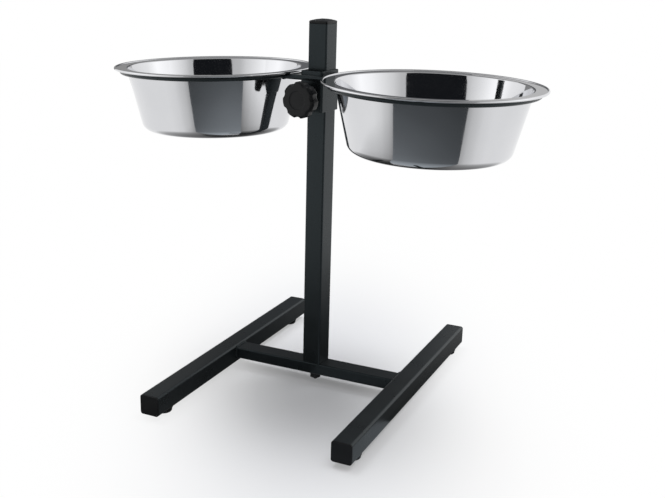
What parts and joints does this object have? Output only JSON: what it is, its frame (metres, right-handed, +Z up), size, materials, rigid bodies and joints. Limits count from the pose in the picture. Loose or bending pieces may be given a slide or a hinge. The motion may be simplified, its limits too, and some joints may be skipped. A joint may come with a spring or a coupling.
{
  "type": "raised dog feeder stand",
  "caption": "Raised dog feeder: H-shaped tube base, square post on a stud, and a wire holder with loose steel bowls that slides on the post and is clamped by a star knob.",
  "frame": {"origin": "on the floor, under the axis of the post's stud and in the middle of the base", "axes": "+Z up, the two floor rails run along Y, the cross bar runs along X, and -Y is the front, where the knob is"},
  "size_m": [0.5483, 0.4, 0.4595],
  "materials": {
    "painted_steel": "satin black powder coat",
    "black_plastic": "moulded black plastic, slightly glossy",
    "zinc_steel": "zinc-plated steel",
    "black_steel": "black-passivated steel",
    "brass_pad": "plain turned brass",
    "polished_steel": "mirror-polished stainless steel"
  },
  "bodies": {
    "base": {"left_rail": "painted_steel", "right_rail": "painted_steel", "cross_bar": "painted_steel", "left_front_cap": "black_plastic", "left_back_cap": "black_plastic", "right_front_cap": "black_plastic", "right_back_cap": "black_plastic", "left_front_foot": "black_plastic", "left_back_foot": "black_plastic", "right_front_foot": "black_plastic", "right_back_foot": "black_plastic", "stud_washer": "black_steel"},
    "post": {"post": "painted_steel", "post_cap": "black_plastic", "post_foot_plug": "zinc_steel", "post_stud": "black_steel", "stud_nut": "black_steel"},
    "holder": {"sleeve": "painted_steel", "clamp_nut": "zinc_steel", "front_bar": "painted_steel", "back_bar": "painted_steel", "left_ring": "painted_steel", "right_ring": "painted_steel"},
    "pad": {"clamp_pad": "brass_pad"},
    "knob": {"clamp_screw": "zinc_steel", "star_knob": "black_plastic"},
    "left_bowl": {"left_bowl": "polished_steel"},
    "right_bowl": {"right_bowl": "polished_steel"}
  },
  "joints": [
    {"name": "post_swivel", "type": "hinge", "parent": "base", "child": "post", "pos_m": [0, 0, 0.028], "axis": [0, 0, 1], "continuous": true},
    {"name": "sleeve_slide", "type": "slide", "parent": "post", "child": "holder", "axis": [0, 0, 1], "range_m": [-0.28, 0.05]},
    {"name": "clamp_advance", "type": "slide", "parent": "holder", "child": "pad", "axis": [-0.1045, -0.9945, 0], "range_m": [0, 0.00187]},
    {"name": "knob_turn", "type": "hinge", "parent": "pad", "child": "knob", "pos_m": [-0.00287, -0.02735, 0.37], "axis": [-0.1045, -0.9945, 0], "range_deg": [0, 545]},
    {"name": "left_bowl_lift", "type": "slide", "parent": "holder", "child": "left_bowl", "axis": [-0.0191, 0.002, 0.9998], "range_m": [0, 0.1]},
    {"name": "right_bowl_lift", "type": "slide", "parent": "holder", "child": "right_bowl", "axis": [0.0191, -0.002, 0.9998], "range_m": [0, 0.1]}
  ],
  "couplings": [
    {"joint": "knob_turn", "follows": "clamp_advance", "rad_per_m": 5026.5}
  ]
}
